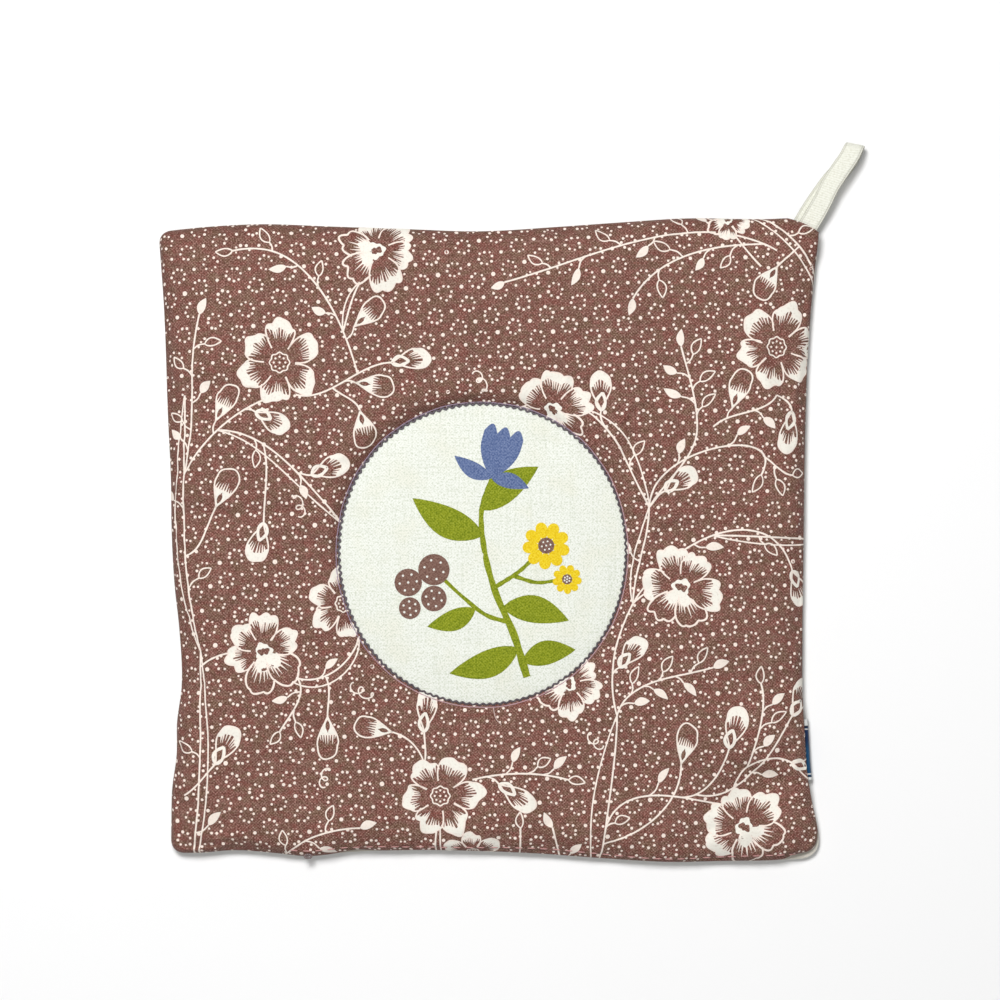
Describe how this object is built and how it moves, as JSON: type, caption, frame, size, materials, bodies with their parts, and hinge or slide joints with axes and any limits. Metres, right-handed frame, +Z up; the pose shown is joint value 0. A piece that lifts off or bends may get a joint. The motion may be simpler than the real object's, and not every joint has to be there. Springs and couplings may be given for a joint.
{
  "type": "quilted pot holder",
  "caption": "Square padded pot holder with a round appliqued medallion in a stitched ring, a plain back and a folded tape hanging loop in one corner.",
  "frame": {"origin": "middle of the flat underside, on the surface that the pad lies on", "axes": "+Z up out of the front side, +Y along the side towards the corner with the hanging loop, +X to the right seen from above"},
  "size_m": [0.2204, 0.2249, 0.0102],
  "materials": {
    "front_panel": "brown printed plain weave",
    "back_panel": "cream plain weave",
    "medallion": "off-white printed linen",
    "hanging_loop": "cream twill tape",
    "side_label": "navy woven ribbon"
  },
  "bodies": {
    "root": {"front_panel": "front_panel", "back_panel": "back_panel", "medallion": "medallion", "hanging_loop": "hanging_loop", "side_label": "side_label"}
  },
  "joints": []
}
